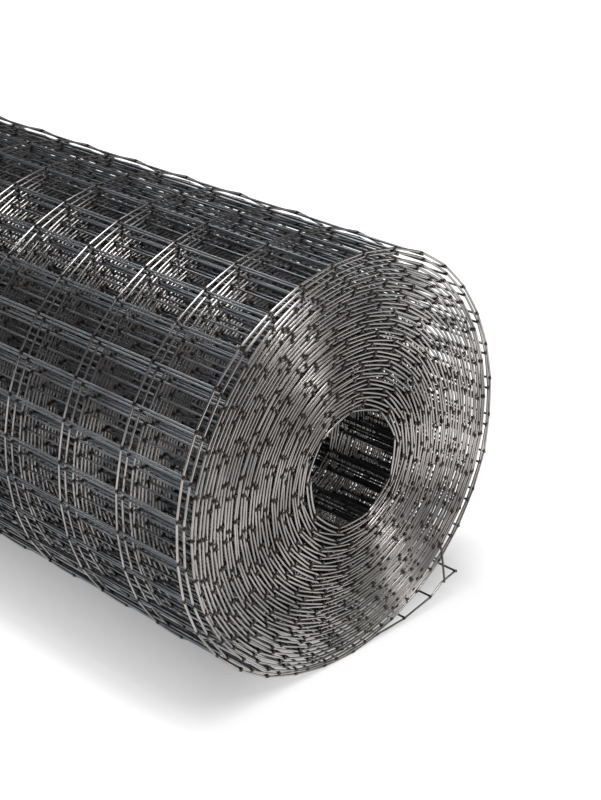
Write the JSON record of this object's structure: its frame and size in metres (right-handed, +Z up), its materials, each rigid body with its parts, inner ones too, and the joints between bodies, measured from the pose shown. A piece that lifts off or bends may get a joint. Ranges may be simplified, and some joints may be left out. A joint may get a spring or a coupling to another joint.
{
  "type": "roll of welded wire mesh fencing",
  "caption": "Roll of welded steel wire mesh with oblong cells, wound round an open bore and lying on its side, with the loose end of the sheet standing away at the foot.",
  "frame": {"origin": "middle of the roll's footprint, on the level floor that it lies on", "axes": "+Y along the roll's axis from the front end, where the loose end's hooked wire is, to the back end; +Z up; the loose end stands away on the +X side"},
  "size_m": [0.2598, 1.0062, 0.2594],
  "materials": {
    "steel_wire": "bright drawn wire, dull grey, with small rust spots at the welds"
  },
  "bodies": {
    "root": {"mesh_roll": "steel_wire"}
  },
  "joints": []
}
